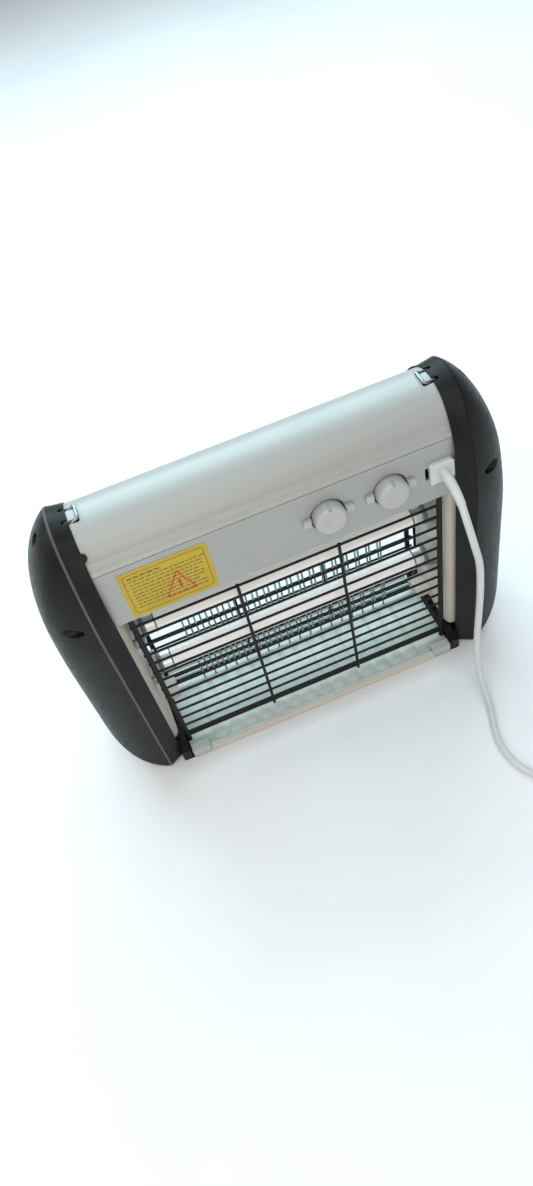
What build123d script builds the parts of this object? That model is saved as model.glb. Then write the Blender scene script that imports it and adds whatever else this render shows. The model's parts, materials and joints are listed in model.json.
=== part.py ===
"""Electric bug zapper with two lamps, a high-voltage grid and a pull-out tray.

Millimetres, +Z up.  X runs along the lamps and -Y is the service side, which carries
the starters and the mains lead.  The origin is the centre of the footprint, on the
surface the zapper stands on.
"""
from build123d import *
from math import atan2, cos, degrees, hypot, pi, radians, sin, tan
import os

os.makedirs("parts", exist_ok=True)

# Hood: an extruded arch over the lamps, with two ridges and a slide-in panel each side
HOOD_HALF_LENGTH = 119.8
SHEET = 1.2
CROWN_RADIUS = 27.3
CROWN_HEIGHT = 222.2
NECK_TOP = (25.7, 231.4)
NECK_RIDGE = (28.2, 226.9)
SEAM = (30.3, 223.3)
PANEL_FOOT = (33.7, 177.1)
RIDGE_RADIUS = 0.45
SEAM_GAP = 0.5
HEM = 2.6

# End caps: a black frame with a bevelled rim, and a domed outer cover
RIM_START = 117.5
RIM_END = 129.2
CAP_HALF_DEPTH = 43.0
CAP_TOP = 252.5
WEB_START = 124.5
WEB_END = 127.0
COVER_START = 129.4
COVER_WALL = 2.4
COVER_END = 162.0

# Posts and screws that hold the outer covers, as (y, z)
SCREW_PLACES = [(0, 241), (-35.5, 189.5), (35.5, 189.5)]
SCREW_BORE = 7.4

# Lamps: two 6 W T5 tubes, one above the other
LAMP_Y = -8.0
LAMP_HEIGHTS = {"lower": 89.0, "upper": 137.0}
LAMP_HALF_LENGTH = 106.05
LAMP_RADIUS = 8.0
GLASS_RADIUS = 7.7
LAMP_CAP_LENGTH = 10.0
LAMP_PIN_PITCH = 4.75
HOLDER_FACE = 106.4
INNER_PLATE_FACE = 114.5
HOLDER_RADIUS = 10.6
HOLDER_STUB = (12.0, 16.0)

# High-voltage grid: two rows of upright wires that stand half a pitch apart
GRID_COUNT = 18
GRID_PITCH = 9.1
GRID_ROWS = {"front": 5.5, "rear": 12.0}
GRID_FOOT = 28.5
GRID_TOP = 170.0
GRID_WIRE_RADIUS = 0.7
GRID_ROD_RADIUS = 1.0
GRID_MIDDLE = 8.75

# Guards: welded wire grilles, and the square bars that tie the end caps together
GUARD_Y = 28.8
GUARD_HALF_WIDTH = 108.7
GUARD_WIRES = 14
GUARD_PITCH = 11.3
GUARD_LOWEST = 14.1
GUARD_SPAN = (7.3, 178.5)
SIDE_WIRE_RADIUS = 2.0
INNER_WIRE_RADIUS = 1.15
THIN_WIRE_RADIUS = 0.95
TIE_BAR = 3.4
TIE_BAR_Y = 25.0
TIE_BAR_HEIGHT = 9.7

# Collection tray, with low round flutes across its floor
TRAY_HALF_LENGTH = 110.2
TRAY_BACK = 43.0
TRAY_UNDERSIDE = 1.5
TRAY_FLOOR = 2.9
TRAY_WALL_TOP = 6.7
TRAY_LIP_TOP = 7.4
GRIP_LENGTH = 15.0
GRIP_DEPTH = 7.5
FLUTE_PITCH = 12.65
FLUTE_COUNT = 14
FLUTE_START = -90.5
FLUTE_WIDTH = 12.0
FLUTE_RISE = 1.5
FLUTE_ENDS = (-31.0, 16.0)

# Hanger bails
BAIL_PIVOT_X = 120.0
BAIL_PIVOT_Z = 244.6
BAIL_REACH = 8.7
BAIL_RISE = 6.1
BAIL_HALF_WIDTH = 5.5
BAIL_RADIUS = 0.95

# Service panel fittings, as distances along X and heights on the panel
STARTER_X = {"left": 31.0, "right": 73.6}
STARTER_HEIGHT = 200.6
STARTER_RADIUS = 10.75
CORD_PLATE_X = 108.8
LABEL_X = -75.9
LABEL_HEIGHT = 198.3

# Mains lead
CORD_RADIUS = 2.5
COIL_CENTRE = (176.0, -152.0)
COIL_INNER = 20.0
COIL_OUTER = 35.0
COIL_HEIGHT = 10.0
TAIL_TURN_RADIUS = 32.5

PANEL_TILT = degrees(atan2(PANEL_FOOT[0] - SEAM[0], SEAM[1] - PANEL_FOOT[1]))


def finish(builder, label):
    """Name a finished piece and write its file."""
    builder.part.label = label
    export_step(builder.part, f"parts/{label}.step")


def panel_plane(x, height):
    """Plane on the outer face of the service panel, with its Z pointing outwards."""
    lean = tan(radians(PANEL_TILT))
    y = -(SEAM[0] + (SEAM[1] - height) * lean)
    outward = (0, -cos(radians(PANEL_TILT)), sin(radians(PANEL_TILT)))
    return Plane(origin=(x, y, height), x_dir=(1, 0, 0), z_dir=outward)


def cap_section(x, half_depth, top, crown, foot, corner, shoulder):
    """Closed outline of an end cap: flat foot, upright sides, wide shoulders, round crown."""
    crown_centre = top - crown
    drop = crown_centre - shoulder
    reach = (half_depth**2 - crown**2 + drop**2) / (2 * (half_depth - crown))
    blend = degrees(atan2(drop, reach - half_depth))
    low = foot + corner
    with BuildSketch(Plane.YZ.offset(x)) as section:
        with BuildLine():
            Line((-half_depth + corner, foot), (half_depth - corner, foot))
            CenterArc((half_depth - corner, low), corner, -90, 90)
            Line((half_depth, low), (half_depth, shoulder))
            CenterArc((half_depth - reach, shoulder), reach, 0, blend)
            CenterArc((0, crown_centre), crown, blend, 180 - 2 * blend)
            CenterArc((reach - half_depth, shoulder), reach, 180 - blend, blend)
            Line((-half_depth, shoulder), (-half_depth, low))
            CenterArc((-half_depth + corner, low), corner, 180, 90)
        make_face()
    return section.sketch


# ---------------------------------------------------------------- hood and panels

def hood_outline(inset):
    """Half arch with straight necks, moved inwards by the sheet thickness."""
    neck = (NECK_TOP[0] - inset, NECK_TOP[1] - inset * 0.35)
    seam = (SEAM[0] - inset, SEAM[1])
    crown = CROWN_HEIGHT + CROWN_RADIUS - inset
    Polyline((-neck[0], neck[1]), (-seam[0], seam[1]), (seam[0], seam[1]), neck)
    ThreePointArc(neck, (0, crown), (-neck[0], neck[1]))


with BuildPart() as top_hood:
    with BuildSketch(Plane.YZ.offset(-HOOD_HALF_LENGTH)):
        with BuildLine():
            hood_outline(0)
        make_face()
        with BuildLine():
            hood_outline(SHEET)
        make_face(mode=Mode.SUBTRACT)
        ridge_spots = [(side * y, z) for side in (-1, 1) for y, z in (NECK_TOP, NECK_RIDGE)]
        with Locations(*ridge_spots):
            Circle(RIDGE_RADIUS)
    extrude(amount=2 * HOOD_HALF_LENGTH)
    # Two slits at each end let the hanger bails through
    slit = 9.2
    for side in (-1, 1):
        with BuildSketch(Plane.XY.offset(CROWN_HEIGHT + 15)):
            with Locations(*[(side * HOOD_HALF_LENGTH, y) for y in (-BAIL_HALF_WIDTH, BAIL_HALF_WIDTH)]):
                SlotOverall(2 * slit, 2.8)
        extrude(amount=20, mode=Mode.SUBTRACT)
finish(top_hood, "top_hood")


def panel_outline():
    """Flat panel with a tongue that slides up behind the hood and a hem at its foot."""
    top = SEAM[1] - SEAM_GAP
    Polyline(
        (SEAM[0], top),
        PANEL_FOOT,
        (PANEL_FOOT[0] - HEM, PANEL_FOOT[1]),
        (PANEL_FOOT[0] - HEM, PANEL_FOOT[1] + 1),
        (PANEL_FOOT[0] - SHEET, PANEL_FOOT[1] + 1),
        (SEAM[0] - SHEET - 1.3, top - 3.5),
        (SEAM[0] - SHEET - 3.6, top + 4.5),
        (SEAM[0] - SHEET - 2.7, top + 5.0),
        (SEAM[0] - SHEET - 0.5, top - 0.6),
        (SEAM[0] - 0.5, top),
        close=True,
    )


with BuildPart() as plain_panel:
    with BuildSketch(Plane.YZ.offset(-HOOD_HALF_LENGTH)):
        with BuildLine():
            panel_outline()
        make_face()
    extrude(amount=2 * HOOD_HALF_LENGTH)
finish(plain_panel, "plain_panel")

with BuildPart() as service_panel:
    mirror(plain_panel.part, about=Plane.XZ)
    for x in STARTER_X.values():
        with BuildSketch(panel_plane(x, STARTER_HEIGHT).offset(3)):
            Circle(12.1)
            Rectangle(27.6, 6.6)
        extrude(amount=-8, mode=Mode.SUBTRACT)
    with BuildSketch(panel_plane(CORD_PLATE_X - 3, STARTER_HEIGHT).offset(3)):
        Rectangle(15.4, 9.6)
    extrude(amount=-8, mode=Mode.SUBTRACT)
finish(service_panel, "service_panel")

with BuildPart() as caution_label:
    with BuildSketch(panel_plane(LABEL_X, LABEL_HEIGHT).offset(0.02)):
        RectangleRounded(57.8, 39.6, 2.6)
    extrude(amount=0.2)
finish(caution_label, "caution_label")

CHASSIS_TOP = 180.2
with BuildPart() as chassis_plate:
    with BuildSketch(Plane.XY.offset(CHASSIS_TOP - SHEET)):
        Rectangle(234, 62)
        with Locations((0, 8.75)):
            SlotOverall(60, 8, mode=Mode.SUBTRACT)
    extrude(amount=SHEET)
    with BuildSketch(Plane.XY.offset(CHASSIS_TOP)):
        with Locations((0, -30.4), (0, 30.4)):
            Rectangle(234, 1.2)
    extrude(amount=5)
finish(chassis_plate, "chassis_plate")


# ---------------------------------------------------------------- end caps

RAIL_HEIGHT = 12.0
RAIL_FACE = 111.0
LEDGE_HEIGHT = 1.2

with BuildPart() as right_end_frame:
    # Bevelled rim, with the lip that closes round the end of the hood
    rim_edge = cap_section(RIM_START, 36.6, 250.5, 28.3, 0, 6, 200)
    rim_ridge = cap_section(RIM_END, CAP_HALF_DEPTH, CAP_TOP, 29.5, 0, 6, 165)
    loft([rim_edge, rim_ridge], ruled=True)
    lip_edge = cap_section(RIM_START - 0.1, 35.6, 249.7, 27.5, 3, 4, 200)
    web_edge = cap_section(WEB_START, 38.6, 249.7, 27.5, 3, 4, 180)
    loft([lip_edge, web_edge], ruled=True, mode=Mode.SUBTRACT)
    back_edge = cap_section(WEB_END, 40.0, 249.7, 27.5, 3, 4, 165)
    extrude(back_edge, amount=RIM_END - WEB_END + 0.1, mode=Mode.SUBTRACT)
    # Rail that guides the tray and stands the inner plate
    with BuildSketch(Plane.XY):
        with Locations(((RAIL_FACE + RIM_START + 1) / 2, 0)):
            RectangleRounded(RIM_START + 1 - RAIL_FACE, 2 * 41.5, 1.5)
    extrude(amount=RAIL_HEIGHT)
    with BuildSketch(Plane.XY):
        with Locations((RAIL_FACE - 1.2, 0)):
            RectangleRounded(6, 2 * 41.5, 1.5)
    extrude(amount=LEDGE_HEIGHT)
    # Sockets for the tie bars
    with BuildSketch(Plane.YZ.offset(RAIL_FACE - 1)):
        with Locations((-TIE_BAR_Y, TIE_BAR_HEIGHT), (TIE_BAR_Y, TIE_BAR_HEIGHT)):
            Rectangle(TIE_BAR + 0.2, TIE_BAR + 0.2)
    extrude(amount=6.4, mode=Mode.SUBTRACT)
    # Screw holes through the web
    with BuildSketch(Plane.YZ.offset(WEB_START - 1)):
        with Locations(*SCREW_PLACES):
            Circle(1.55)
    extrude(amount=10, mode=Mode.SUBTRACT)
    # Notches in the lip for the hanger bail
    with BuildSketch(Plane.XY.offset(CAP_TOP - 12)):
        with Locations(*[(RIM_START, y) for y in (-BAIL_HALF_WIDTH, BAIL_HALF_WIDTH)]):
            SlotOverall(7.8, 2.8)
    extrude(amount=20, mode=Mode.SUBTRACT)
    # Round lug that holds the hood down at the rear
    lug_angle = radians(30)
    lug_axis = (0, cos(lug_angle), sin(lug_angle))
    lug_foot = CROWN_RADIUS + 0.15
    lug_origin = (RIM_START + 0.3, lug_foot * lug_axis[1], CROWN_HEIGHT + lug_foot * lug_axis[2])
    with BuildSketch(Plane(origin=lug_origin, x_dir=(1, 0, 0), z_dir=lug_axis)):
        Circle(3.0)
    extrude(amount=1.6)
finish(right_end_frame, "right_end_frame")

with BuildPart() as left_end_frame:
    add(right_end_frame.part, rotation=(0, 0, 180))
finish(left_end_frame, "left_end_frame")

# x, half depth, top, crown radius, foot, foot corner, shoulder height
COVER_SECTIONS = [
    (COVER_START, CAP_HALF_DEPTH, CAP_TOP, 29.5, 0, 6, 165),
    (142, 39.5, 239, 28, 3, 12, 160),
    (153, 33, 217, 25, 14, 17, 150),
    (159.5, 24, 190, 18, 36, 16, 135),
    (COVER_END, 12, 160, 9, 66, 8, 120),
]

with BuildPart() as cover_form:
    loft([cap_section(*section) for section in COVER_SECTIONS])


def inner_section(x, depth, top, crown, foot, corner, shoulder):
    """The same outline moved inwards by the cover's wall."""
    wall = COVER_WALL
    shift = 0 if x == COVER_START else wall
    return cap_section(x - shift, depth - wall, top - wall, crown - wall, foot + wall, corner - wall, shoulder)


with BuildPart() as cover_hollow:
    loft([inner_section(*section) for section in COVER_SECTIONS])

with BuildPart() as right_end_cover:
    add(cover_form.part)
    add(cover_hollow.part, mode=Mode.SUBTRACT)
    with BuildSketch(Plane.YZ.offset(COVER_START)):
        with Locations(*SCREW_PLACES):
            Circle(SCREW_BORE / 2 + 1.8)
    extrude(amount=24)
    add(cover_form.part, mode=Mode.INTERSECT)
    with BuildSketch(Plane.YZ.offset(COVER_START - 1)):
        with Locations(*SCREW_PLACES):
            Circle(1.6)
    extrude(amount=10, mode=Mode.SUBTRACT)
    with BuildSketch(Plane.YZ.offset(COVER_START + 3)):
        with Locations(*SCREW_PLACES):
            Circle(SCREW_BORE / 2)
    extrude(amount=40, mode=Mode.SUBTRACT)
finish(right_end_cover, "right_end_cover")

with BuildPart() as left_end_cover:
    add(right_end_cover.part, rotation=(0, 0, 180))
finish(left_end_cover, "left_end_cover")

with BuildPart() as right_cover_screws:
    with BuildSketch(Plane.YZ.offset(COVER_START + 3.05)):
        with Locations(*SCREW_PLACES):
            Circle(2.6)
    extrude(amount=2)
    with BuildSketch(Plane.YZ.offset(COVER_START + 3.05)):
        with Locations(*SCREW_PLACES):
            Circle(1.45)
    extrude(amount=-7.8)
    with BuildSketch(Plane.YZ.offset(COVER_START + 5.05)):
        with Locations(*SCREW_PLACES):
            Rectangle(3.2, 0.7)
            Rectangle(0.7, 3.2)
    extrude(amount=-1.2, mode=Mode.SUBTRACT)
finish(right_cover_screws, "right_cover_screws")

with BuildPart() as left_cover_screws:
    add(right_cover_screws.part, rotation=(0, 0, 180))
finish(left_cover_screws, "left_cover_screws")

PLATE_DEPTH = 58.0
PLATE_WALL = 2.0
PLATE_RIM = 7.0
PLATE_FOOT = RAIL_HEIGHT + 0.2
PLATE_TOP = 176.8
with BuildPart() as right_inner_plate:
    plate_middle = (PLATE_FOOT + PLATE_TOP) / 2
    plate_height = PLATE_TOP - PLATE_FOOT
    with BuildSketch(Plane.YZ.offset(INNER_PLATE_FACE)):
        with Locations((0, plate_middle)):
            RectangleRounded(PLATE_DEPTH, plate_height, PLATE_RIM)
    extrude(amount=WEB_START - 0.1 - INNER_PLATE_FACE)
    fillet(right_inner_plate.faces().sort_by(Axis.X)[0].edges(), 6.0)
    with BuildSketch(Plane.YZ.offset(INNER_PLATE_FACE + PLATE_WALL)):
        with Locations((0, plate_middle)):
            RectangleRounded(PLATE_DEPTH - 2 * PLATE_RIM, plate_height - 2 * PLATE_RIM, 3.5)
    extrude(amount=WEB_START - INNER_PLATE_FACE, mode=Mode.SUBTRACT)
    with BuildSketch(Plane.YZ.offset(INNER_PLATE_FACE - 1)):
        with Locations(*[(LAMP_Y, z) for z in LAMP_HEIGHTS.values()]):
            Rectangle(HOLDER_STUB[0] + 0.4, HOLDER_STUB[1] + 0.4)
    extrude(amount=4, mode=Mode.SUBTRACT)
finish(right_inner_plate, "right_inner_plate")

with BuildPart() as left_inner_plate:
    mirror(right_inner_plate.part, about=Plane.YZ)
finish(left_inner_plate, "left_inner_plate")


# ---------------------------------------------------------------- lamps and holders

for level, z in LAMP_HEIGHTS.items():
    with BuildPart() as right_holder:
        with BuildSketch(Plane.YZ.offset(HOLDER_FACE)):
            with Locations((LAMP_Y, z)):
                Circle(HOLDER_RADIUS)
            with Locations((LAMP_Y, z - 8)):
                Rectangle(15, 12)
        extrude(amount=INNER_PLATE_FACE - 0.05 - HOLDER_FACE)
        with BuildSketch(Plane.YZ.offset(INNER_PLATE_FACE - 0.05)):
            with Locations((LAMP_Y, z)):
                Rectangle(*HOLDER_STUB)
        extrude(amount=5)
        # Rotor cavity, and the slot that the lamp pins enter by
        with BuildSketch(Plane.YZ.offset(HOLDER_FACE)):
            with Locations((LAMP_Y, z)):
                Circle(4.5)
            with Locations((LAMP_Y - 5.5, z)):
                Rectangle(11, 3.2)
        extrude(amount=8, mode=Mode.SUBTRACT)
        # Ring groove round the face
        with BuildSketch(Plane.YZ.offset(HOLDER_FACE)):
            with Locations((LAMP_Y, z)):
                Circle(9.0)
                Circle(8.2, mode=Mode.SUBTRACT)
        extrude(amount=0.8, mode=Mode.SUBTRACT)
    finish(right_holder, f"{level}_right_lampholder")

    with BuildPart() as left_holder:
        mirror(right_holder.part, about=Plane.YZ)
    finish(left_holder, f"{level}_left_lampholder")

    with BuildPart() as lamp_tube:
        with BuildSketch(Plane.YZ.offset(1.6 - LAMP_HALF_LENGTH)):
            with Locations((LAMP_Y, z)):
                Circle(GLASS_RADIUS)
                Circle(GLASS_RADIUS - 0.8, mode=Mode.SUBTRACT)
        extrude(amount=2 * (LAMP_HALF_LENGTH - 1.6))
    finish(lamp_tube, f"{level}_lamp_tube")

    with BuildPart() as lamp_caps:
        with BuildSketch(Plane.YZ.offset(LAMP_HALF_LENGTH)):
            with Locations((LAMP_Y, z)):
                Circle(LAMP_RADIUS)
        extrude(amount=-LAMP_CAP_LENGTH)
        with BuildSketch(Plane.YZ.offset(LAMP_HALF_LENGTH - 1.5)):
            with Locations((LAMP_Y, z)):
                Circle(GLASS_RADIUS + 0.03)
        extrude(amount=-LAMP_CAP_LENGTH, mode=Mode.SUBTRACT)
        mirror(about=Plane.YZ)
    finish(lamp_caps, f"{level}_lamp_caps")

    with BuildPart() as lamp_pins:
        with BuildSketch(Plane.YZ.offset(LAMP_HALF_LENGTH)):
            with Locations(*[(LAMP_Y, z + side * LAMP_PIN_PITCH / 2) for side in (-1, 1)]):
                Circle(1.18)
        extrude(amount=7)
        mirror(about=Plane.YZ)
    finish(lamp_pins, f"{level}_lamp_pins")


# ---------------------------------------------------------------- high-voltage grid

row_start = -(GRID_COUNT - 0.5) * GRID_PITCH / 2
for index, (row, y) in enumerate(GRID_ROWS.items()):
    with BuildPart() as grid_wires:
        with BuildSketch(Plane.XY.offset(GRID_FOOT - 2.5)):
            first = row_start + index * GRID_PITCH / 2
            with Locations(*[(first + i * GRID_PITCH, y) for i in range(GRID_COUNT)]):
                Circle(GRID_WIRE_RADIUS)
        extrude(amount=GRID_TOP - GRID_FOOT + 5)
    finish(grid_wires, f"{row}_grid_wires")

rod_gap = GRID_WIRE_RADIUS + GRID_ROD_RADIUS + 0.05
rod_places = [(GRID_ROWS["front"] - rod_gap, z) for z in (GRID_FOOT, GRID_TOP)]
rod_places += [(GRID_ROWS["rear"] + rod_gap, z) for z in (GRID_FOOT, GRID_TOP)]
with BuildPart() as grid_rods:
    with BuildSketch(Plane.YZ.offset(-107)):
        with Locations(*rod_places):
            Circle(GRID_ROD_RADIUS)
    extrude(amount=214)
finish(grid_rods, "grid_rods")

INSULATOR_FACE = 102.5
with BuildPart() as grid_insulators:
    for z in (GRID_FOOT, GRID_TOP):
        with BuildSketch(Plane.YZ.offset(INSULATOR_FACE)):
            with Locations((GRID_MIDDLE, z)):
                SlotOverall(20, 10)
        extrude(amount=INNER_PLATE_FACE - 0.05 - INSULATOR_FACE)
    with BuildSketch(Plane.YZ.offset(INSULATOR_FACE - 1)):
        with Locations(*rod_places):
            Circle(GRID_ROD_RADIUS + 0.05)
    extrude(amount=5.6, mode=Mode.SUBTRACT)
    mirror(about=Plane.YZ)
finish(grid_insulators, "grid_insulators")


# ---------------------------------------------------------------- guards and tie bars

with BuildPart() as front_guard:
    wire_overhang = 2.8
    weld = 0.65
    guard_top = GUARD_LOWEST + (GUARD_WIRES - 1) * GUARD_PITCH
    wire_y = -GUARD_Y + SIDE_WIRE_RADIUS + THIN_WIRE_RADIUS - weld
    with BuildSketch(Plane.YZ.offset(-GUARD_HALF_WIDTH - wire_overhang)):
        with Locations(*[(wire_y, GUARD_LOWEST + i * GUARD_PITCH) for i in range(GUARD_WIRES)]):
            Circle(THIN_WIRE_RADIUS)
    extrude(amount=2 * (GUARD_HALF_WIDTH + wire_overhang))
    with BuildSketch(Plane.XY.offset(GUARD_SPAN[0])):
        with Locations((-GUARD_HALF_WIDTH, -GUARD_Y), (GUARD_HALF_WIDTH, -GUARD_Y)):
            Circle(SIDE_WIRE_RADIUS)
    extrude(amount=GUARD_SPAN[1] - GUARD_SPAN[0])
    inner_foot = GUARD_SPAN[0] + 0.9
    with BuildSketch(Plane.XY.offset(inner_foot)):
        inner_y = wire_y - THIN_WIRE_RADIUS - INNER_WIRE_RADIUS + 0.6
        with Locations((-GUARD_HALF_WIDTH / 3, inner_y), (GUARD_HALF_WIDTH / 3, inner_y)):
            Circle(INNER_WIRE_RADIUS)
    extrude(amount=guard_top + 3 - inner_foot)
finish(front_guard, "front_guard")

with BuildPart() as rear_guard:
    mirror(front_guard.part, about=Plane.XZ)
finish(rear_guard, "rear_guard")

for side, y in (("front", -TIE_BAR_Y), ("rear", TIE_BAR_Y)):
    with BuildPart() as tie_bar:
        with BuildSketch(Plane.YZ.offset(-115.4)):
            with Locations((y, TIE_BAR_HEIGHT)):
                RectangleRounded(TIE_BAR, TIE_BAR, 0.5)
        extrude(amount=230.8)
    finish(tie_bar, f"{side}_tie_bar")


# ---------------------------------------------------------------- collection tray

with BuildPart() as flute_form:
    # One long low mound with round ends
    flute_radius = (FLUTE_WIDTH**2 / 4 + FLUTE_RISE**2) / (2 * FLUTE_RISE)
    flute_axis = TRAY_FLOOR + FLUTE_RISE - flute_radius
    with BuildSketch(Plane.XZ.offset(-FLUTE_ENDS[1])):
        with Locations((0, flute_axis)):
            Circle(flute_radius)
    extrude(amount=FLUTE_ENDS[1] - FLUTE_ENDS[0])
    with Locations(*[(0, y, flute_axis) for y in FLUTE_ENDS]):
        Sphere(flute_radius)
    with BuildSketch(Plane.XY.offset(TRAY_FLOOR - 0.05)):
        Rectangle(2 * FLUTE_WIDTH, 4 * CAP_HALF_DEPTH)
    extrude(amount=2 * FLUTE_RISE, mode=Mode.INTERSECT)

with BuildPart() as collection_tray:
    front = -CAP_HALF_DEPTH
    depth = TRAY_BACK - front
    front_wall = 3.0
    wall = 1.6
    tray_corner = 4.0
    with BuildSketch(Plane.XY.offset(TRAY_UNDERSIDE)):
        with Locations((0, (front + TRAY_BACK) / 2)):
            RectangleRounded(2 * TRAY_HALF_LENGTH, depth, tray_corner)
    extrude(amount=TRAY_WALL_TOP - TRAY_UNDERSIDE)
    with BuildSketch(Plane.XY.offset(TRAY_WALL_TOP)):
        with Locations((0, front + front_wall / 2)):
            Rectangle(2 * (TRAY_HALF_LENGTH - tray_corner), front_wall)
    extrude(amount=TRAY_LIP_TOP - TRAY_WALL_TOP)
    with BuildSketch(Plane.XY.offset(TRAY_FLOOR)):
        with Locations((0, (front + front_wall + TRAY_BACK - wall) / 2)):
            RectangleRounded(2 * (TRAY_HALF_LENGTH - wall), depth - front_wall - wall, tray_corner - 1)
    extrude(amount=TRAY_LIP_TOP, mode=Mode.SUBTRACT)
    with Locations(*[(FLUTE_START + (i + 0.5) * FLUTE_PITCH, 0, 0) for i in range(FLUTE_COUNT)]):
        add(flute_form.part)
    # Corners cut away for the grips
    for side in (-1, 1):
        with BuildSketch(Plane.XY):
            with Locations((side * (TRAY_HALF_LENGTH - GRIP_LENGTH / 2 + 0.5), front + GRIP_DEPTH / 2 - 1)):
                Rectangle(GRIP_LENGTH + 1.6, GRIP_DEPTH + 2.2)
        extrude(amount=20, mode=Mode.SUBTRACT)
finish(collection_tray, "collection_tray")

with BuildPart() as right_tray_grip:
    with BuildSketch(Plane.XY.offset(TRAY_UNDERSIDE)):
        with Locations((TRAY_HALF_LENGTH - 0.2 - GRIP_LENGTH / 2, -CAP_HALF_DEPTH + GRIP_DEPTH / 2)):
            RectangleRounded(GRIP_LENGTH, GRIP_DEPTH, 1.2)
    extrude(amount=9)
    fillet(right_tray_grip.faces().sort_by(Axis.Z)[-1].edges(), 0.9)
    # Finger hollow underneath the front edge
    with BuildSketch(Plane.YZ.offset(TRAY_HALF_LENGTH - GRIP_LENGTH + 2)):
        with Locations((-CAP_HALF_DEPTH, 3.2)):
            Circle(1.5)
    extrude(amount=GRIP_LENGTH - 4.4, mode=Mode.SUBTRACT)
finish(right_tray_grip, "right_tray_grip")

with BuildPart() as left_tray_grip:
    mirror(right_tray_grip.part, about=Plane.YZ)
finish(left_tray_grip, "left_tray_grip")


# ---------------------------------------------------------------- hanger bails

with BuildPart() as right_hanger_bail:
    bar_x = BAIL_PIVOT_X - BAIL_REACH
    bar_z = BAIL_PIVOT_Z + BAIL_RISE
    turned_end = BAIL_HALF_WIDTH + 3.4
    with BuildLine() as bail_path:
        FilletPolyline(
            (BAIL_PIVOT_X, -turned_end, BAIL_PIVOT_Z),
            (BAIL_PIVOT_X, -BAIL_HALF_WIDTH, BAIL_PIVOT_Z),
            (bar_x, -BAIL_HALF_WIDTH, bar_z),
            (bar_x, BAIL_HALF_WIDTH, bar_z),
            (BAIL_PIVOT_X, BAIL_HALF_WIDTH, BAIL_PIVOT_Z),
            (BAIL_PIVOT_X, turned_end, BAIL_PIVOT_Z),
            radius=1.4,
        )
    with BuildSketch(Plane(origin=bail_path.line @ 0, z_dir=bail_path.line % 0)):
        Circle(BAIL_RADIUS)
    sweep()
finish(right_hanger_bail, "right_hanger_bail")

with BuildPart() as left_hanger_bail:
    add(right_hanger_bail.part, rotation=(0, 0, 180))
finish(left_hanger_bail, "left_hanger_bail")

with BuildPart() as right_hanger_bracket:
    bracket_base = BAIL_PIVOT_Z - 4.0
    with BuildSketch(Plane.XY.offset(bracket_base)):
        with Locations(((117.4 + WEB_START - 0.1) / 2, 0)):
            Rectangle(WEB_START - 0.1 - 117.4, 18.6)
    extrude(amount=1.4)
    for y in (-8.1, 8.1):
        with BuildSketch(Plane.XZ.offset(-y + 1.2)):
            with Locations((BAIL_PIVOT_X, BAIL_PIVOT_Z)):
                Circle(1.75)
            with Locations((BAIL_PIVOT_X, (BAIL_PIVOT_Z + bracket_base + 1) / 2)):
                Rectangle(3.5, BAIL_PIVOT_Z - bracket_base - 1)
        extrude(amount=-2.4)
    with BuildSketch(Plane.XZ.offset(-12)):
        with Locations((BAIL_PIVOT_X, BAIL_PIVOT_Z)):
            Circle(BAIL_RADIUS + 0.08)
    extrude(amount=24, mode=Mode.SUBTRACT)
finish(right_hanger_bracket, "right_hanger_bracket")

with BuildPart() as left_hanger_bracket:
    add(right_hanger_bracket.part, rotation=(0, 0, 180))
finish(left_hanger_bracket, "left_hanger_bracket")


# ---------------------------------------------------------------- starters

CAN_PROUD = 8.6
CAN_DEPTH = 28.0
CAN_ROUNDING = 2.8
DISH_RADIUS = 14.0
DISH_DEPTH = 0.9
for side, x in STARTER_X.items():
    face = panel_plane(x, STARTER_HEIGHT)
    with BuildPart() as starter:
        with BuildSketch(face.offset(CAN_PROUD)):
            Circle(STARTER_RADIUS)
        extrude(amount=-CAN_PROUD - CAN_DEPTH)
        rim_faces = starter.faces().filter_by(GeomType.PLANE)
        outer_face = rim_faces.sort_by(Axis.Y)[0]
        fillet(outer_face.edges(), CAN_ROUNDING)
        with Locations(face.offset(CAN_PROUD + DISH_RADIUS - DISH_DEPTH).origin):
            Sphere(DISH_RADIUS, mode=Mode.SUBTRACT)
        with BuildSketch(face.offset(CAN_PROUD)):
            with Locations((0, STARTER_RADIUS), (0, -STARTER_RADIUS)):
                Rectangle(1.8, 3.6)
        extrude(amount=-1.6, mode=Mode.SUBTRACT)
        with BuildSketch(face.offset(CAN_PROUD)):
            with Locations((0, STARTER_RADIUS)):
                Rectangle(1.8, 1.2)
        extrude(amount=-6, mode=Mode.SUBTRACT)
    finish(starter, f"{side}_starter")

    with BuildPart() as contacts:
        with BuildSketch(face.offset(-CAN_DEPTH)):
            with Locations((-6.35, 0), (6.35, 0)):
                Circle(1.5)
        extrude(amount=-2.2)
    finish(contacts, f"{side}_starter_contacts")

    with BuildPart() as socket:
        with BuildSketch(face.offset(-6)):
            Circle(12.8)
            Circle(11.2, mode=Mode.SUBTRACT)
        extrude(amount=-27)
        with BuildSketch(face.offset(-31)):
            Circle(12.8)
        extrude(amount=-2)
        with BuildSketch(face.offset(-9)):
            with Locations((-12.55, 0), (12.55, 0)):
                Rectangle(2.1, 6)
        extrude(amount=11.2)
        with BuildSketch(face.offset(0.15)):
            with Locations((-14.5, 0), (14.5, 0)):
                RectangleRounded(5.2, 5.6, 1.1)
        extrude(amount=2.6)
    finish(socket, f"{side}_starter_socket")


# ---------------------------------------------------------------- power parts under the hood

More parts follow.
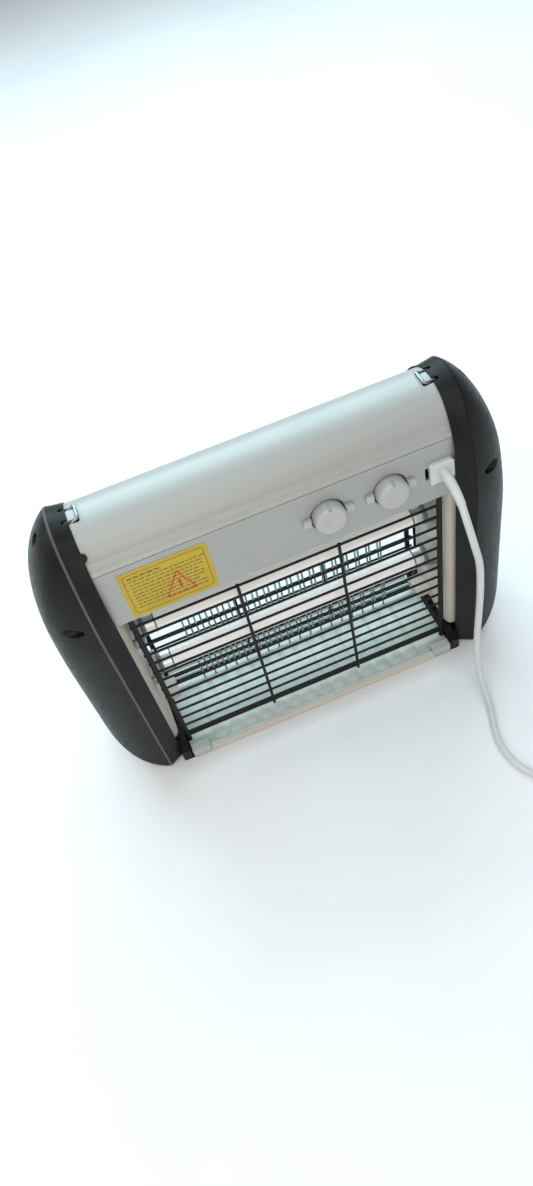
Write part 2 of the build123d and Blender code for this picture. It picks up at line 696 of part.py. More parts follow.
for side, x in (("left", -82.0), ("right", -24.0)):
    with BuildPart() as ballast_core:
        with BuildSketch(Plane.XY.offset(CHASSIS_TOP + 0.05)):
            with Locations((x, 2)):
                Rectangle(44, 30)
        extrude(amount=26)
        with BuildSketch(Plane.XY.offset(CHASSIS_TOP + 0.05)):
            with Locations((x, 2)):
                Rectangle(54, 22)
        extrude(amount=1.2)
        with BuildSketch(Plane.XY.offset(CHASSIS_TOP + 8)):
            with Locations((x - 13.5, 2), (x + 13.5, 2)):
                Rectangle(7, 40)
        extrude(amount=12, mode=Mode.SUBTRACT)
    finish(ballast_core, f"{side}_ballast_core")

    with BuildPart() as ballast_winding:
        with BuildSketch(Plane.XY.offset(CHASSIS_TOP + 8.3)):
            with Locations((x - 13.5, 2), (x + 13.5, 2)):
                RectangleRounded(6.4, 36, 2)
        extrude(amount=11.4)
    finish(ballast_winding, f"{side}_ballast_winding")

BOARD_HEIGHT = CHASSIS_TOP + 4
with BuildPart() as high_voltage_board:
    with BuildSketch(Plane.XY.offset(BOARD_HEIGHT)):
        with Locations((52, 16)):
            Rectangle(64, 22)
    extrude(amount=1.6)
    with BuildSketch(Plane.XY.offset(CHASSIS_TOP + 0.05)):
        with Locations((24, 8), (80, 8), (24, 24), (80, 24)):
            Circle(2)
    extrude(amount=3.95)
finish(high_voltage_board, "high_voltage_board")

with BuildPart() as board_capacitors:
    with BuildSketch(Plane.XY.offset(BOARD_HEIGHT + 1.65)):
        with Locations(*[(x, 17) for x in (30, 44, 58, 72)]):
            RectangleRounded(9, 13, 2)
    extrude(amount=11)
finish(board_capacitors, "board_capacitors")

with BuildPart() as terminal_block:
    with BuildSketch(Plane.XY.offset(CHASSIS_TOP + 0.05)):
        with Locations((100, 6)):
            Rectangle(24, 15)
    extrude(amount=9)
    with BuildSketch(Plane.XY.offset(CHASSIS_TOP + 9)):
        with Locations((93, 6), (100, 6), (107, 6)):
            Circle(2.2)
    extrude(amount=-5, mode=Mode.SUBTRACT)
finish(terminal_block, "terminal_block")


# ---------------------------------------------------------------- mains lead

cord_face = panel_plane(CORD_PLATE_X, STARTER_HEIGHT)
PLATE_THICKNESS = 3.0
with BuildPart() as cord_plate:
    with BuildSketch(cord_face.offset(0.05)):
        with BuildLine():
            Polyline((-8.5, -8.2), (6.6, -8.2), (8.5, -6.3), (8.5, 6.3), (6.6, 8.2), (-8.5, 8.2), close=True)
        make_face()
    extrude(amount=PLATE_THICKNESS)
    fillet(cord_plate.faces().sort_by(Axis.Y)[0].edges(), 0.6)
    with BuildSketch(cord_face.offset(0.1)):
        with Locations((-1, 0)):
            Rectangle(10, 9)
    extrude(amount=-9)
finish(cord_plate, "cord_plate")

# The boot bends downwards along one arc, from square to the plate to BOOT_TURN below level
BOOT_TURN = 50.0
BOOT_ARC = 27.0
BOOT_RADII = (3.7, 3.5, 3.3, 3.1, 2.9, 2.75)
boot_root = cord_face.offset(PLATE_THICKNESS + 0.06).origin
with BuildPart() as cord_boot:
    start = radians(-PANEL_TILT)
    for i, radius in enumerate(BOOT_RADII):
        share = i / (len(BOOT_RADII) - 1)
        angle = start + share * (radians(BOOT_TURN) - start)
        centre = (
            boot_root.X + 1.2 * share,
            boot_root.Y - BOOT_ARC * (sin(angle) - sin(start)),
            boot_root.Z - BOOT_ARC * (cos(start) - cos(angle)),
        )
        heading = (0, -cos(angle), -sin(angle))
        with BuildSketch(Plane(origin=centre, x_dir=(1, 0, 0), z_dir=heading)):
            Circle(radius)
    loft()
finish(cord_boot, "cord_boot")
boot_end = Vector(*centre)
boot_heading = Vector(*heading)

# Free route from the boot down to the surface and round to the coil
coil_x, coil_y = COIL_CENTRE
CORD_ROUTE = [
    tuple(boot_end + boot_heading * 0.02),
    tuple(boot_end + boot_heading * 16),
    (112.4, -71.3, 163.0),
    (115.8, -72.5, 146.0),
    (117.6, -71.5, 116.0),
    (117.4, -71.0, 84.0),
    (116.2, -71.5, 54.0),
    (115.4, -74.5, 31.0),
    (114.9, -83.5, 11.8),
    (113.6, -99.5, 2.5),
    (107.0, -117.0, 2.5),
    (103.0, -135.0, 2.5),
    (106.5, -154.0, 2.5),
    (119.5, -170.5, 2.5),
    (139.0, -181.5, 2.5),
    (158.0, -185.2, 2.5),
    (coil_x, coil_y - TAIL_TURN_RADIUS, 2.5),
]


def corner_radii(route):
    """Radius at each corner: as large as its two straight runs allow."""
    points = [Vector(*p) for p in route]
    radii = []
    for before, here, after in zip(points, points[1:], points[2:]):
        run_in, run_out = here - before, after - here
        turn = radians(run_in.get_angle(run_out))
        radii.append(0.45 * min(run_in.length, run_out.length) / tan(turn / 2))
    return radii


route_radii = corner_radii(CORD_ROUTE)
print("cord corner radii", [round(r, 1) for r in route_radii])
runs = [hypot(b[0] - a[0], b[1] - a[1], b[2] - a[2]) for a, b in zip(CORD_ROUTE, CORD_ROUTE[1:])]
print("cord runs", [round(r, 1) for r in runs])

with BuildPart() as cord_coil:
    with BuildSketch(Plane.XY):
        with Locations(COIL_CENTRE):
            Circle(COIL_OUTER)
            Circle(COIL_INNER, mode=Mode.SUBTRACT)
    extrude(amount=COIL_HEIGHT)
finish(cord_coil, "cord_coil")

with BuildPart() as cord_tube:
    with BuildLine() as cord_path:
        FilletPolyline(*CORD_ROUTE, radius=route_radii)
    with BuildSketch(Plane(origin=cord_path.line @ 0, z_dir=cord_path.line % 0)):
        Circle(CORD_RADIUS)
    sweep()
    swept = cord_tube.part.volume
    add(cord_coil.part, mode=Mode.SUBTRACT)
finish(cord_tube, "cord_tube")
tube_length = sum(edge.length for edge in cord_path.edges())
expected = pi * CORD_RADIUS**2 * tube_length
print("cord length", round(tube_length, 1), "volume ratio", round(swept / expected, 4))

# Last stretch from the coil to the plug, which lies flat beside it
TAIL_HEIGHT = 7.5
TAIL_LENGTH = 24.0
plug_x = coil_x + TAIL_TURN_RADIUS
plug_y = coil_y + TAIL_LENGTH
with BuildPart() as cord_tail:
    with BuildSketch(Plane.XZ.offset(-coil_y)):
        with Locations((plug_x, TAIL_HEIGHT)):
            Circle(CORD_RADIUS)
    extrude(amount=-TAIL_LENGTH)
    add(cord_coil.part, mode=Mode.SUBTRACT)
finish(cord_tail, "cord_tail")

PLUG_LENGTH = 34.0
PLUG_THICKNESS = 13.6
PIN_SPACING = 18.6
with BuildPart() as plug_body:
    with BuildSketch(Plane.XY.offset(TAIL_HEIGHT - PLUG_THICKNESS / 2)):
        with BuildLine():
            Polyline(
                (plug_x - 4.5, plug_y + 0.02),
                (plug_x + 4.5, plug_y + 0.02),
                (plug_x + 5.5, plug_y + 12),
                (plug_x + 13, plug_y + 22),
                (plug_x + 13, plug_y + PLUG_LENGTH),
                (plug_x - 13, plug_y + PLUG_LENGTH),
                (plug_x - 13, plug_y + 22),
                (plug_x - 5.5, plug_y + 12),
                close=True,
            )
        make_face()
    extrude(amount=PLUG_THICKNESS)
    fillet(plug_body.edges().filter_by(Axis.Z), 1.5)
    fillet(plug_body.faces().sort_by(Axis.Z)[-1].edges(), 1.8)
    fillet(plug_body.faces().sort_by(Axis.Z)[0].edges(), 1.8)
finish(plug_body, "plug_body")

with BuildPart() as plug_pins:
    with BuildSketch(Plane.XZ.offset(-plug_y - PLUG_LENGTH)):
        with Locations((plug_x - PIN_SPACING / 2, TAIL_HEIGHT), (plug_x + PIN_SPACING / 2, TAIL_HEIGHT)):
            Circle(2.0)
    extrude(amount=-19)
    fillet(plug_pins.faces().sort_by(Axis.Y)[-2:].edges(), 1.0)
finish(plug_pins, "plug_pins")
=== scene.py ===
"""Looks of the electric bug zapper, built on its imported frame.

Metres, +Z up.  X runs along the lamps and -Y is the service side.  Pieces are made in the
frame's own coordinates, so they go where the frame says.
"""

import json
import random
from math import cos, pi, radians, sin

import bmesh
import bpy
from mathutils import Matrix, Vector


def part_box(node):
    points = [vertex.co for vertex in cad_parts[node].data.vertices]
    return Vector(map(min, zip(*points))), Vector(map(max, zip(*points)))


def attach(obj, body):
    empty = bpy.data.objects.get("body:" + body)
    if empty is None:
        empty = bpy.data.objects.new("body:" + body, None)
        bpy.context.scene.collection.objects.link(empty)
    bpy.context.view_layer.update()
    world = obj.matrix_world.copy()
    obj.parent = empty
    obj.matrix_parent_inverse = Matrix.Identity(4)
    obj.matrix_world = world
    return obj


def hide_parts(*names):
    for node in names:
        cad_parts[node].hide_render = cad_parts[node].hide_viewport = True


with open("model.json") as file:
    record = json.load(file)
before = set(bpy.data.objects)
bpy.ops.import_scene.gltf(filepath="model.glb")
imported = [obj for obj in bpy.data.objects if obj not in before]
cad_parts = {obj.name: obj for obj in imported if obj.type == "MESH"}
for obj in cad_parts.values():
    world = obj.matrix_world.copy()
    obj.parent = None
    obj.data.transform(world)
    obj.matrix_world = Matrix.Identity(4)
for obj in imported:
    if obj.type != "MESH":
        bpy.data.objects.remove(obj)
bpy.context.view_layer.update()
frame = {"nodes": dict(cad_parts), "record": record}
nodes = frame["nodes"]

# Distance of the caps' outermost ridge from the middle, and the inner edge of the tray's rim
CAP_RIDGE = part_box("right_end_frame")[1].x + 0.0001
TRAY_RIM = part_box("collection_tray")[0].y + 0.0026


# ---------------------------------------------------------------- camera

CAMERA_PLACE = (-0.0699, -0.3899, 0.6192)
CAMERA_HEADING = radians(8.0)
CAMERA_PITCH = radians(52.44)
CAMERA_ROLL = radians(15.7)
CAMERA_LENS = 27.05


def make_camera():
    """Camera above the service side, looking down and rolled a little."""
    data = bpy.data.cameras.new("camera")
    data.lens = CAMERA_LENS
    data.sensor_width = 36
    camera = bpy.data.objects.new("camera", data)
    bpy.context.scene.collection.objects.link(camera)
    turn = Matrix.Rotation(-CAMERA_HEADING, 4, "Z")
    tip = Matrix.Rotation(pi / 2 - CAMERA_PITCH, 4, "X")
    roll = Matrix.Rotation(-CAMERA_ROLL, 4, "Z")
    camera.matrix_world = Matrix.Translation(CAMERA_PLACE) @ turn @ tip @ roll
    bpy.context.scene.camera = camera


make_camera()


# ---------------------------------------------------------------- building helpers

def add_piece(name, mesh_or_curve, body):
    """Link a new piece and let it ride on a body."""
    piece = bpy.data.objects.new(name, mesh_or_curve)
    bpy.context.scene.collection.objects.link(piece)
    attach(piece, body)
    return piece


def mesh_from(bm, name, smooth_angle=35):
    """Mesh of a finished bmesh, smooth apart from its sharp edges."""
    bmesh.ops.recalc_face_normals(bm, faces=bm.faces)
    mesh = bpy.data.meshes.new(name)
    bm.to_mesh(mesh)
    bm.free()
    for face in mesh.polygons:
        face.use_smooth = True
    mesh.set_sharp_from_angle(angle=radians(smooth_angle))
    return mesh


# ---------------------------------------------------------------- mains lead

CORD_DIAMETER = 0.005
BOOT_END = (0.1100, -0.05771, 0.19127)
COIL_TURNS = 5.25
POINTS_PER_TURN = 24

# Free stretch from the boot down to the surface and round to the coil
CORD_ROUTE = [
    (0.1100, -0.0677, 0.1793),
    (0.1124, -0.0713, 0.1630),
    (0.1158, -0.0725, 0.1460),
    (0.1176, -0.0715, 0.1160),
    (0.1174, -0.0710, 0.0840),
    (0.1162, -0.0715, 0.0540),
    (0.1154, -0.0745, 0.0310),
    (0.1149, -0.0835, 0.0118),
    (0.1136, -0.0995, 0.0025),
    (0.1070, -0.1170, 0.0025),
    (0.1030, -0.1350, 0.0025),
    (0.1065, -0.1540, 0.0025),
    (0.1195, -0.1705, 0.0025),
    (0.1390, -0.1815, 0.0025),
    (0.1580, -0.1852, 0.0025),
]


def eased(value, start, end):
    """0 before start, 1 after end, and smooth between."""
    share = min(1.0, max(0.0, (value - start) / (end - start)))
    return share * share * (3 - 2 * share)


def coil_points():
    """Five and a quarter turns: three rings inwards on the surface, then outwards on top of them."""
    low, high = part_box("cord_coil")
    centre = (low + high) / 2
    outer_ring = (high.x - low.x) / 2 - CORD_DIAMETER / 2
    # The curve runs inside its control points, so they stand a little further out
    swell = 1 / cos(pi / POINTS_PER_TURN)
    points = []
    for step in range(int(POINTS_PER_TURN * COIL_TURNS) + 1):
        turned = 360 * step / POINTS_PER_TURN
        inwards = eased(turned, 300, 360) + eased(turned, 660, 720)
        outwards = eased(turned, 1260, 1320) + eased(turned, 1620, 1680)
        ring = (outer_ring - CORD_DIAMETER * (inwards - outwards)) * swell
        height = CORD_DIAMETER * (0.5 + eased(turned, 960, 1020))
        angle = radians(turned - 90)
        points.append((centre.x + ring * cos(angle), centre.y + ring * sin(angle), height))
    return points


def make_cord():
    """The whole lead on one smooth line, from the boot to the plug."""
    plug_low, plug_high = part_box("plug_body")
    plug_entry = (
        (plug_low.x + plug_high.x) / 2,
        plug_low.y - 0.00002,
        (plug_low.z + plug_high.z) / 2,
    )
    coil = coil_points()
    tail_start = Vector(coil[-1])
    tail_middle = (plug_entry[0], (tail_start.y + plug_entry[1]) / 2, plug_entry[2])
    points = [BOOT_END, *CORD_ROUTE, *coil, tail_middle, plug_entry]
    curve = bpy.data.curves.new("mains_lead", "CURVE")
    curve.dimensions = "3D"
    curve.resolution_u = 6
    curve.bevel_depth = 1.0
    curve.bevel_resolution = 5
    curve.use_fill_caps = True
    spline = curve.splines.new("NURBS")
    spline.points.add(len(points) - 1)
    for point, place in zip(spline.points, points):
        point.co = (*place, 1.0)
        point.radius = CORD_DIAMETER / 2
    spline.order_u = 3
    spline.use_endpoint_u = True
    lead = add_piece("mains_lead", curve, "housing")
    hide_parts("cord_tube", "cord_coil", "cord_tail")
    return lead


mains_lead = make_cord()


# ---------------------------------------------------------------- print on the label

PANEL_TILT = radians(4.21)
LABEL_RIGHT = Vector((1, 0, 0))
LABEL_UP = Vector((0, sin(PANEL_TILT), cos(PANEL_TILT)))
LABEL_OUT = Vector((0, -cos(PANEL_TILT), sin(PANEL_TILT)))
LABEL_THICKNESS = 0.0002
INK_LIFT = 0.00006


def label_frame():
    """Middle of the label's outer face, its width and its height."""
    low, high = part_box("caution_label")
    width = high.x - low.x
    height = (high.z - low.z - LABEL_THICKNESS * sin(PANEL_TILT)) / cos(PANEL_TILT)
    return (low + high) / 2 + LABEL_OUT * LABEL_THICKNESS / 2, width, height


label_middle, label_width, label_height = label_frame()


def add_bar(bm, start, end, thickness):
    """Flat bar of ink between two places on the label, as (right, up) in metres."""
    start, end = Vector(start), Vector(end)
    along = (end - start).normalized()
    across = Vector((-along.y, along.x)) * thickness / 2
    corners = [start - across, end - across, end + across, start + across]
    rings = []
    for lift in (0, INK_LIFT):
        raised = label_middle + LABEL_OUT * lift
        places = [raised + LABEL_RIGHT * corner.x + LABEL_UP * corner.y for corner in corners]
        rings.append([bm.verts.new(place) for place in places])
    bm.faces.new(rings[0][::-1])
    bm.faces.new(rings[1])
    for i in range(4):
        bm.faces.new((rings[0][i], rings[0][i - 3], rings[1][i - 3], rings[1][i]))


def make_label_print():
    """Border, rows of plain bars in place of words, and a plain triangle outline."""
    width, height = label_width, label_height
    ink = bmesh.new()
    inset, corner = 0.0028, 0.0022
    right, top = width / 2 - inset, height / 2 - inset
    outline = []
    for turn, (x, y) in enumerate([(1, 1), (-1, 1), (-1, -1), (1, -1)]):
        for step in range(5):
            angle = pi / 2 * (turn + step / 4)
            centre_x, centre_y = x * (right - corner), y * (top - corner)
            outline.append((centre_x + corner * cos(angle), centre_y + corner * sin(angle)))
    for here, after in zip(outline, outline[1:] + outline[:1]):
        add_bar(ink, here, after, 0.00045)
    words = random.Random(5)
    row_pitch = height * 0.074
    for row in range(10):
        y = height / 2 - height * 0.15 - row * row_pitch
        x = -width / 2 + width * (0.10 if row else 0.09)
        row_end = width * (-0.06 if row == 0 else words.uniform(0.30, 0.41))
        if row in (1, 3, 8):
            add_bar(ink, (x - 0.0022, y), (x - 0.0014, y), 0.0008)
        while x < row_end:
            length = words.uniform(0.0014, 0.0042)
            add_bar(ink, (x, y), (x + length, y), 0.0013 if row == 0 else 0.00085)
            x += length + 0.0009
    add_piece("label_ink", mesh_from(ink, "label_ink"), "housing")
    sign = bmesh.new()
    apex = (width * 0.106, height * 0.147)
    feet = [(-width * 0.074, -height * 0.341), (width * 0.26, -height * 0.341)]
    for start, end in ((apex, feet[0]), (feet[0], feet[1]), (feet[1], apex)):
        add_bar(sign, start, end, 0.00085)
    add_bar(sign, (apex[0], -height * 0.03), (apex[0], -height * 0.24), 0.0013)
    add_piece("label_triangle", mesh_from(sign, "label_triangle"), "housing")


make_label_print()


# ---------------------------------------------------------------- lamp ends

def turned_ring(bm, centre, profile, sides=48):
    """Ring round the X axis through a centre, from (x, radius) pairs."""
    loops = []
    for x, radius in profile:
        angles = [2 * pi * i / sides for i in range(sides)]
        places = [(x, centre.y + radius * cos(a), centre.z + radius * sin(a)) for a in angles]
        loops.append([bm.verts.new(place) for place in places])
    for here, after in zip(loops, loops[1:] + loops[:1]):
        for i in range(sides):
            bm.faces.new((here[i - 1], here[i], after[i], after[i - 1]))


def rounded_band(start, end, inner, outer, rounding):
    """Profile of a flat band with rounded outer corners."""
    chamfer = rounding * 0.3
    return [
        (start, inner),
        (start, outer - rounding),
        (start + chamfer, outer - chamfer),
        (start + rounding, outer),
        (end - rounding, outer),
        (end - chamfer, outer - chamfer),
        (end, outer - rounding),
        (end, inner),
    ]


def make_lamp_ends(level):
    """Blue-grey collar and crimped edge on each cap of one lamp."""
    low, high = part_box(f"{level}_lamp_caps")
    centre = (low + high) / 2
    radius = (high.z - low.z) / 2
    half = (high.x - low.x) / 2
    collars = bmesh.new()
    crimps = bmesh.new()
    for side in (-1, 1):
        collar = rounded_band(half - 0.0030, half - 0.00005, radius - 0.0004, radius + 0.00025, 0.0004)
        crimp = rounded_band(half - 0.0106, half - 0.0095, radius - 0.0006, radius + 0.00018, 0.0003)
        turned_ring(collars, centre, [(side * x, r) for x, r in collar])
        turned_ring(crimps, centre, [(side * x, r) for x, r in crimp])
    made = []
    for name, bm in (("collars", collars), ("crimps", crimps)):
        made.append(add_piece(f"{level}_lamp_{name}", mesh_from(bm, name), f"{level}_lamp"))
    return made


lamp_ends = [make_lamp_ends(level) for level in ("lower", "upper")]


# ---------------------------------------------------------------- materials

class Look:
    """A procedural material on one Principled shader, with the object's own coordinates."""

    def __init__(self, name, metallic=0.0, ior=1.5, coat=0.0, coat_roughness=0.03):
        self.material = bpy.data.materials.new(name)
        self.material.use_nodes = True
        self.tree = self.material.node_tree
        self.shader = self.tree.nodes["Principled BSDF"]
        self.shader.inputs["Metallic"].default_value = metallic
        self.shader.inputs["IOR"].default_value = ior
        self.shader.inputs["Coat Weight"].default_value = coat
        self.shader.inputs["Coat Roughness"].default_value = coat_roughness
        self.place = self.tree.nodes.new("ShaderNodeTexCoord").outputs["Object"]
        self.normal = None

    def node(self, kind, **settings):
        made = self.tree.nodes.new(kind)
        for key, value in settings.items():
            setattr(made, key, value)
        return made

    def link(self, source, target):
        self.tree.links.new(source, target)

    def stretched(self, scale):
        """The object's coordinates, scaled by axis."""
        mapping = self.node("ShaderNodeMapping")
        mapping.inputs["Scale"].default_value = scale
        self.link(self.place, mapping.inputs["Vector"])
        return mapping.outputs["Vector"]

    def noise(self, scale, detail=4.0, stretch=None, roughness=0.55):
        """Noise whose features are about 1 / scale metres across."""
        texture = self.node("ShaderNodeTexNoise")
        texture.inputs["Scale"].default_value = scale
        texture.inputs["Detail"].default_value = detail
        texture.inputs["Roughness"].default_value = roughness
        self.link(self.stretched(stretch) if stretch else self.place, texture.inputs["Vector"])
        return texture.outputs["Fac"]

    def span(self, value, low, high, from_low=0.35, from_high=0.65):
        """A value carried from its own range to a wanted one."""
        ranged = self.node("ShaderNodeMapRange")
        ranged.inputs["From Min"].default_value = from_low
        ranged.inputs["From Max"].default_value = from_high
        ranged.inputs["To Min"].default_value = low
        ranged.inputs["To Max"].default_value = high
        self.link(value, ranged.inputs["Value"])
        return ranged.outputs["Result"]

    def blend(self, factor, first, second):
        """Colour between two others by a factor."""
        mix = self.node("ShaderNodeMix", data_type="RGBA")
        self.link(factor, mix.inputs["Factor"])
        for socket, colour in ((mix.inputs["A"], first), (mix.inputs["B"], second)):
            if isinstance(colour, tuple):
                socket.default_value = (*colour, 1)
            else:
                self.link(colour, socket)
        return mix.outputs["Result"]

    def colour(self, value):
        self.link(value, self.shader.inputs["Base Color"])
        return self

    def roughness(self, value):
        self.link(value, self.shader.inputs["Roughness"])
        return self

    def bump(self, height, depth, strength=1.0):
        """Raise the surface by a height map, depth in metres."""
        bump = self.node("ShaderNodeBump")
        bump.inputs["Strength"].default_value = strength
        bump.inputs["Distance"].default_value = depth
        self.link(height, bump.inputs["Height"])
        if self.normal:
            self.link(self.normal, bump.inputs["Normal"])
        self.normal = bump.outputs["Normal"]
        self.link(self.normal, self.shader.inputs["Normal"])
        return self

    def soft_edges(self, radius):
        """Edges that look rounded by this radius."""
        bevel = self.node("ShaderNodeBevel", samples=6)
        bevel.inputs["Radius"].default_value = radius
        self.normal = bevel.outputs["Normal"]
        self.link(self.normal, self.shader.inputs["Normal"])
        return self


def plastic(name, light, dark, gloss=(0.35, 0.5), grain=900, depth=0.00002, edge=0.0004, ior=1.5):
    """Moulded plastic: faint cloudy colour, fine grain, softened edges."""
    look = Look(name, ior=ior)
    look.soft_edges(edge)
    look.colour(look.blend(look.span(look.noise(45, 5), 0, 1), light, dark))
    look.roughness(look.span(look.noise(220, 3), *gloss))
    look.bump(look.noise(grain, 2), depth)
    return look.material


def metal(name, light, dark, gloss=(0.25, 0.4), stretch=(1, 1, 1), grain=800, depth=0.00001, edge=0.0002):
    """Bare metal with drawn or brushed streaks."""
    look = Look(name, metallic=1.0)
    look.soft_edges(edge)
    streaks = look.noise(grain, 3, stretch)
    look.colour(look.blend(look.span(streaks, 0, 1), light, dark))
    look.roughness(look.span(look.noise(grain / 2, 3, stretch), *gloss))
    look.bump(streaks, depth)
    return look.material


def black_moulding():
    """Fine-grained black plastic; a painted highlight lightens the left cap's outermost ridge."""
    look = Look("black_moulding", ior=1.27)
    look.soft_edges(0.0009)
    axes = look.node("ShaderNodeSeparateXYZ")
    look.link(look.place, axes.inputs["Vector"])
    off_ridge = look.node("ShaderNodeMath", operation="ADD")
    look.link(axes.outputs["X"], off_ridge.inputs[0])
    off_ridge.inputs[1].default_value = CAP_RIDGE
    distance = look.node("ShaderNodeMath", operation="ABSOLUTE")
    look.link(off_ridge.outputs["Value"], distance.inputs[0])
    # Painted highlight: a pale line on the left cap's outermost ridge stands in for light falling from
    # the left.
    lit_ridge_highlight = look.span(distance.outputs["Value"], 1, 0, 0.0004, 0.0009)
    cloud = look.span(look.noise(45, 5), 0, 1)
    base = look.blend(cloud, (0.0115, 0.0105, 0.0095), (0.0075, 0.007, 0.0065))
    look.colour(look.blend(lit_ridge_highlight, base, (0.17, 0.145, 0.13)))
    look.roughness(look.span(look.noise(220, 3), 0.36, 0.46))
    look.bump(look.noise(1100, 2), 0.00002)
    return look.material


def anodised_hood():
    """Satin anodised extrusion: faint lines along its length, a little cloudiness."""
    look = Look("hood_satin_aluminium", metallic=0.45, ior=1.45)
    look.soft_edges(0.0003)
    lines = look.noise(60, 4, (0.25, 40, 40))
    clouds = look.noise(18, 3)
    base = look.blend(look.span(lines, 0, 1), (0.41, 0.412, 0.392), (0.385, 0.387, 0.367))
    look.colour(look.blend(look.span(clouds, 0, 0.5), base, (0.43, 0.428, 0.407)))
    look.roughness(look.span(look.noise(90, 3, (0.3, 12, 12)), 0.5, 0.58))
    look.bump(lines, 0.000004)
    return look.material


def lamp_glass():
    """White phosphor seen through clear glass; a faint painted glow brightens it, though the lamp is off.
    """
    look = Look("lamp_phosphor_glass", coat=1.0, coat_roughness=0.04)
    powder = look.noise(500, 4)
    look.colour(look.blend(look.span(powder, 0, 1), (0.86, 0.84, 0.81), (0.82, 0.80, 0.77)))
    look.roughness(look.span(look.noise(140, 2), 0.4, 0.55))
    look.bump(powder, 0.000004)
    # Painted light: this faint emission stands in for light that the tubes under the hood do not get.
    look.shader.inputs["Emission Color"].default_value = (1.0, 0.97, 0.93, 1)
    look.shader.inputs["Emission Strength"].default_value = 0.10
    return look.material


def tray_moulding():
    """Pale green floor with a beige front rim."""
    look = Look("tray_moulding")
    look.soft_edges(0.0003)
    axes = look.node("ShaderNodeSeparateXYZ")
    look.link(look.place, axes.inputs["Vector"])
    rim = look.span(axes.outputs["Y"], 1, 0, TRAY_RIM - 0.0006, TRAY_RIM + 0.0006)
    cloud = look.span(look.noise(45, 5), 0, 1)
    green = look.blend(cloud, (0.68, 0.76, 0.70), (0.62, 0.71, 0.65))
    look.colour(look.blend(rim, green, (0.56, 0.50, 0.43)))
    look.roughness(look.span(look.noise(220, 3), 0.28, 0.4))
    look.bump(look.noise(900, 2), 0.00002)
    return look.material


def painted_floor():
    """Pale matt surface with a trace of unevenness."""
    look = Look("pale_floor")
    look.colour(look.blend(look.span(look.noise(6, 3), 0, 1), (0.86, 0.86, 0.86), (0.83, 0.83, 0.835)))
    look.roughness(look.span(look.noise(30, 2), 0.6, 0.75))
    return look.material


def tape_winding():
    """Wrapped insulating tape round a ballast's copper."""
    look = Look("winding_tape_wrap")
    wave = look.node("ShaderNodeTexWave", wave_type="BANDS", bands_direction="Z")
    wave.inputs["Scale"].default_value = 90
    wave.inputs["Distortion"].default_value = 1.5
    look.link(look.place, wave.inputs["Vector"])
    look.colour(look.blend(wave.outputs["Fac"], (0.55, 0.36, 0.08), (0.42, 0.24, 0.05)))
    look.roughness(look.span(look.noise(150, 2), 0.35, 0.5))
    look.bump(wave.outputs["Fac"], 0.0001)
    return look.material


def laminated_core():
    """Varnished stack of thin steel sheets."""
    look = Look("core_laminations", metallic=0.6)
    wave = look.node("ShaderNodeTexWave", wave_type="BANDS", bands_direction="X")
    wave.inputs["Scale"].default_value = 320
    look.link(look.place, wave.inputs["Vector"])
    look.colour(look.blend(wave.outputs["Fac"], (0.10, 0.10, 0.11), (0.05, 0.05, 0.055)))
    look.roughness(look.span(look.noise(120, 2), 0.45, 0.6))
    look.bump(wave.outputs["Fac"], 0.00006)
    return look.material


LOOKS = {
    "hood_aluminium": anodised_hood(),
    "label_film": plastic(
        "label_yellow", (0.52, 0.37, 0.035), (0.47, 0.33, 0.03), (0.4, 0.5),
        grain=600, depth=0.000005, edge=0.0001, ior=1.35,
    ),
    "zinc_steel": metal("zinc_plated_steel", (0.55, 0.56, 0.56), (0.42, 0.43, 0.44), (0.3, 0.45)),
    "black_plastic": black_moulding(),
    "black_wire": plastic(
        "black_wire_paint", (0.012, 0.009, 0.009), (0.007, 0.006, 0.006), (0.4, 0.5),
        grain=700, depth=0.00001, edge=0.0002, ior=1.3,
    ),
    "bright_wire": metal(
        "bright_steel_wire", (0.40, 0.45, 0.45), (0.30, 0.35, 0.35), (0.35, 0.45), stretch=(1, 1, 0.2)
    ),
    "ivory_plastic": plastic("ivory_moulding", (0.66, 0.60, 0.53), (0.62, 0.56, 0.49), (0.4, 0.5)),
    "white_plastic": plastic("white_moulding", (0.46, 0.46, 0.445), (0.42, 0.42, 0.405), (0.32, 0.42)),
    "lamp_glass": lamp_glass(),
    "lamp_metal": metal(
        "lamp_cap_aluminium", (0.80, 0.80, 0.79), (0.74, 0.74, 0.73), (0.34, 0.42),
        stretch=(0.3, 1, 1), grain=500, depth=0.000002,
    ),
    "brass": metal("brass_pins", (0.70, 0.52, 0.25), (0.60, 0.43, 0.20), (0.2, 0.3)),
    "tray_plastic": tray_moulding(),
    "core_steel": laminated_core(),
    "winding_tape": tape_winding(),
    "board_green": plastic("board_lacquer", (0.03, 0.16, 0.06), (0.02, 0.12, 0.045), (0.25, 0.4)),
    "capacitor_film": plastic("capacitor_dip", (0.35, 0.08, 0.03), (0.28, 0.06, 0.025), (0.2, 0.3)),
    "cord_white": plastic(
        "white_sheath", (0.62, 0.63, 0.63), (0.58, 0.59, 0.59), (0.35, 0.45),
        grain=500, depth=0.00001, edge=0.0001,
    ),
}


def dress(piece, look):
    """Give a piece one material on every face."""
    piece.data.materials.clear()
    piece.data.materials.append(look)


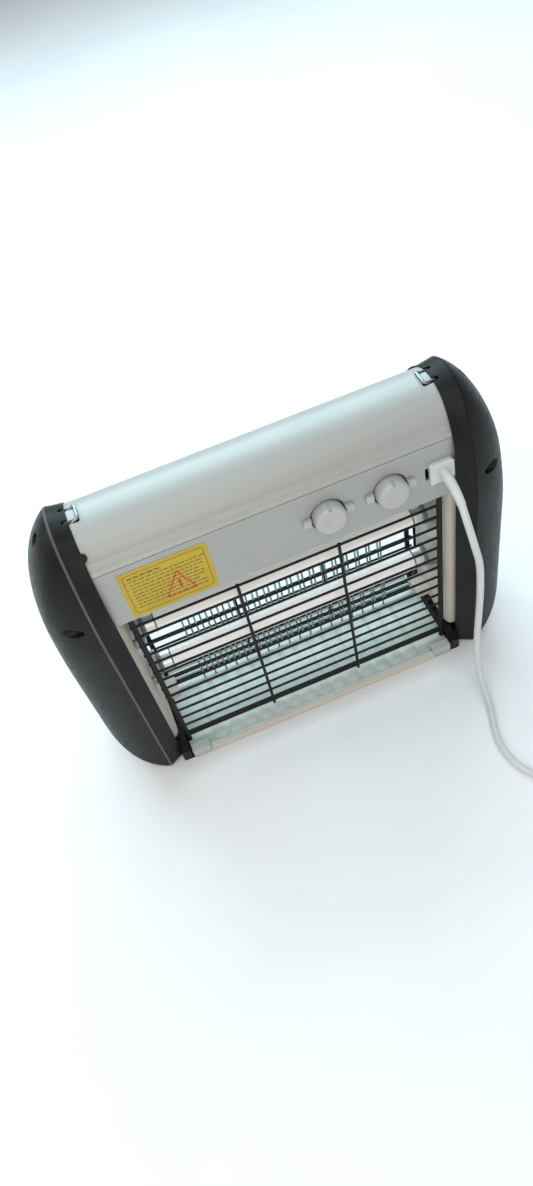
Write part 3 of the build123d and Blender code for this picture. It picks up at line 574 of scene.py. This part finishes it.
for part in frame["record"]["subparts"]:
    dress(nodes[part["node"]], LOOKS[part["material_slot"]])
dress(mains_lead, LOOKS["cord_white"])
dress(nodes["cord_plate"], LOOKS["cord_white"])
INK = {"gloss": (0.4, 0.5), "depth": 0.000002, "edge": 0.00002}
RING = {"depth": 0.000004, "edge": 0.0001}
ink_look = plastic("label_print", (0.16, 0.12, 0.035), (0.12, 0.09, 0.03), **INK)
sign_look = plastic("label_red", (0.62, 0.035, 0.012), (0.55, 0.03, 0.01), **INK)
collar_look = plastic("lamp_collar", (0.16, 0.20, 0.24), (0.13, 0.17, 0.21), (0.3, 0.4), **RING)
crimp_look = plastic("lamp_crimp", (0.22, 0.21, 0.20), (0.17, 0.16, 0.155), (0.35, 0.45), **RING)
dress(bpy.data.objects["label_ink"], ink_look)
dress(bpy.data.objects["label_triangle"], sign_look)
for collar_piece, crimp_piece in lamp_ends:
    dress(collar_piece, collar_look)
    dress(crimp_piece, crimp_look)


# ---------------------------------------------------------------- stage and light

def make_floor():
    """Wide pale surface just under the object."""
    bm = bmesh.new()
    bmesh.ops.create_grid(bm, x_segments=8, y_segments=8, size=4.0)
    floor = bpy.data.objects.new("floor", mesh_from(bm, "floor"))
    floor.location.z = -0.0002
    bpy.context.scene.collection.objects.link(floor)
    dress(floor, painted_floor())


def add_softbox(name, place, target, size, power, colour):
    """Rectangular area light that faces a point."""
    data = bpy.data.lights.new(name, "AREA")
    data.shape = "RECTANGLE"
    data.size, data.size_y = size
    data.energy = power
    data.color = colour
    light = bpy.data.objects.new(name, data)
    bpy.context.scene.collection.objects.link(light)
    direction = Vector(target) - Vector(place)
    light.rotation_euler = direction.to_track_quat("-Z", "Y").to_euler()
    light.location = place


def make_light():
    """Soft studio light: a pale world and five softboxes."""
    world = bpy.data.worlds.new("studio")
    world.use_nodes = True
    sky = world.node_tree.nodes["Background"]
    sky.inputs["Color"].default_value = (0.92, 0.96, 1.0, 1)
    sky.inputs["Strength"].default_value = 0.40
    bpy.context.scene.world = world
    add_softbox("window", (0.05, 1.1, 1.0), (0, 0, 0.22), (1.9, 0.8), 20, (0.66, 0.90, 1.0))
    add_softbox("front", (-0.35, -1.25, 0.75), (0, 0, 0.10), (1.5, 0.9), 7.5, (1.0, 0.95, 0.88))
    add_softbox("sky", (0.05, 0.42, 1.3), (0, 0, 0.22), (1.8, 0.9), 8, (0.70, 0.92, 1.0))
    add_softbox("high_front", (-0.15, -0.62, 1.3), (0, 0, 0.10), (1.6, 0.16), 4.5, (0.95, 0.98, 1.0))
    add_softbox("left", (-1.0, 0.25, 0.7), (-0.12, 0, 0.2), (0.5, 0.5), 2.0, (1.0, 0.90, 0.80))
    view = bpy.context.scene.view_settings
    view.view_transform = "Standard"
    view.look = "None"


make_floor()
make_light()
